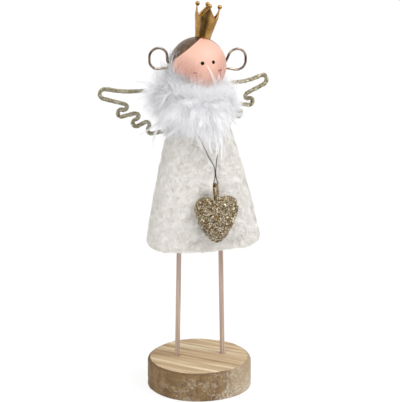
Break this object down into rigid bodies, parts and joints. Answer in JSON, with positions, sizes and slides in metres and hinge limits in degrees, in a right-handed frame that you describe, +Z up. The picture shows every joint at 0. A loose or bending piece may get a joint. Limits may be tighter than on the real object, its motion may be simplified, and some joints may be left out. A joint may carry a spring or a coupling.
{
  "type": "angel figurine",
  "caption": "Standing angel ornament: round wooden base, thin dowel legs, plush dress, down collar, painted ball head with crown and wire hair loops, wire wings, and a heart hung on a thread.",
  "frame": {"origin": "centre of the underside of the base", "axes": "+Z up, the face looks towards -Y, +X to the viewer's right when looking at the face"},
  "size_m": [0.1278, 0.0736, 0.2807],
  "materials": {
    "sawn_wood": "sawn, rubbed with chalky white",
    "leg_paint": "pale pinkish dowel",
    "plain_wood": "plain",
    "white_plush": "curly pile",
    "white_down": "fluffy down",
    "skin_paint": "painted, satin",
    "brown_wire": "polished wire",
    "antique_gold": "antique, satin",
    "wing_glitter": "champagne glitter on wire",
    "heart_glitter": "champagne glitter",
    "grey_thread": "twisted thread"
  },
  "bodies": {
    "figure": {"base_disc": "sawn_wood", "left_leg": "leg_paint", "right_leg": "leg_paint", "body_core": "plain_wood", "neck_dowel": "plain_wood", "plush_dress": "white_plush", "down_collar": "white_down", "head_ball": "skin_paint", "left_hair_loop": "brown_wire", "right_hair_loop": "brown_wire", "crown": "antique_gold", "left_wing": "wing_glitter", "right_wing": "wing_glitter", "necklace_neck_loop": "grey_thread"},
    "necklace": {"necklace_strands": "grey_thread"},
    "pendant": {"heart": "heart_glitter", "heart_eye": "wing_glitter"}
  },
  "joints": [
    {"name": "pendant_lift", "type": "hinge", "parent": "figure", "child": "necklace", "pos_m": [0.0019, -0.0179, 0.186], "axis": [-1, 0, 0], "range_deg": [0, 60]},
    {"name": "heart_swing", "type": "hinge", "parent": "necklace", "child": "pendant", "pos_m": [0.0029, -0.02588, 0.15707], "axis": [-0.1564, -0.9843, 0.082], "range_deg": [-25, 25]}
  ]
}
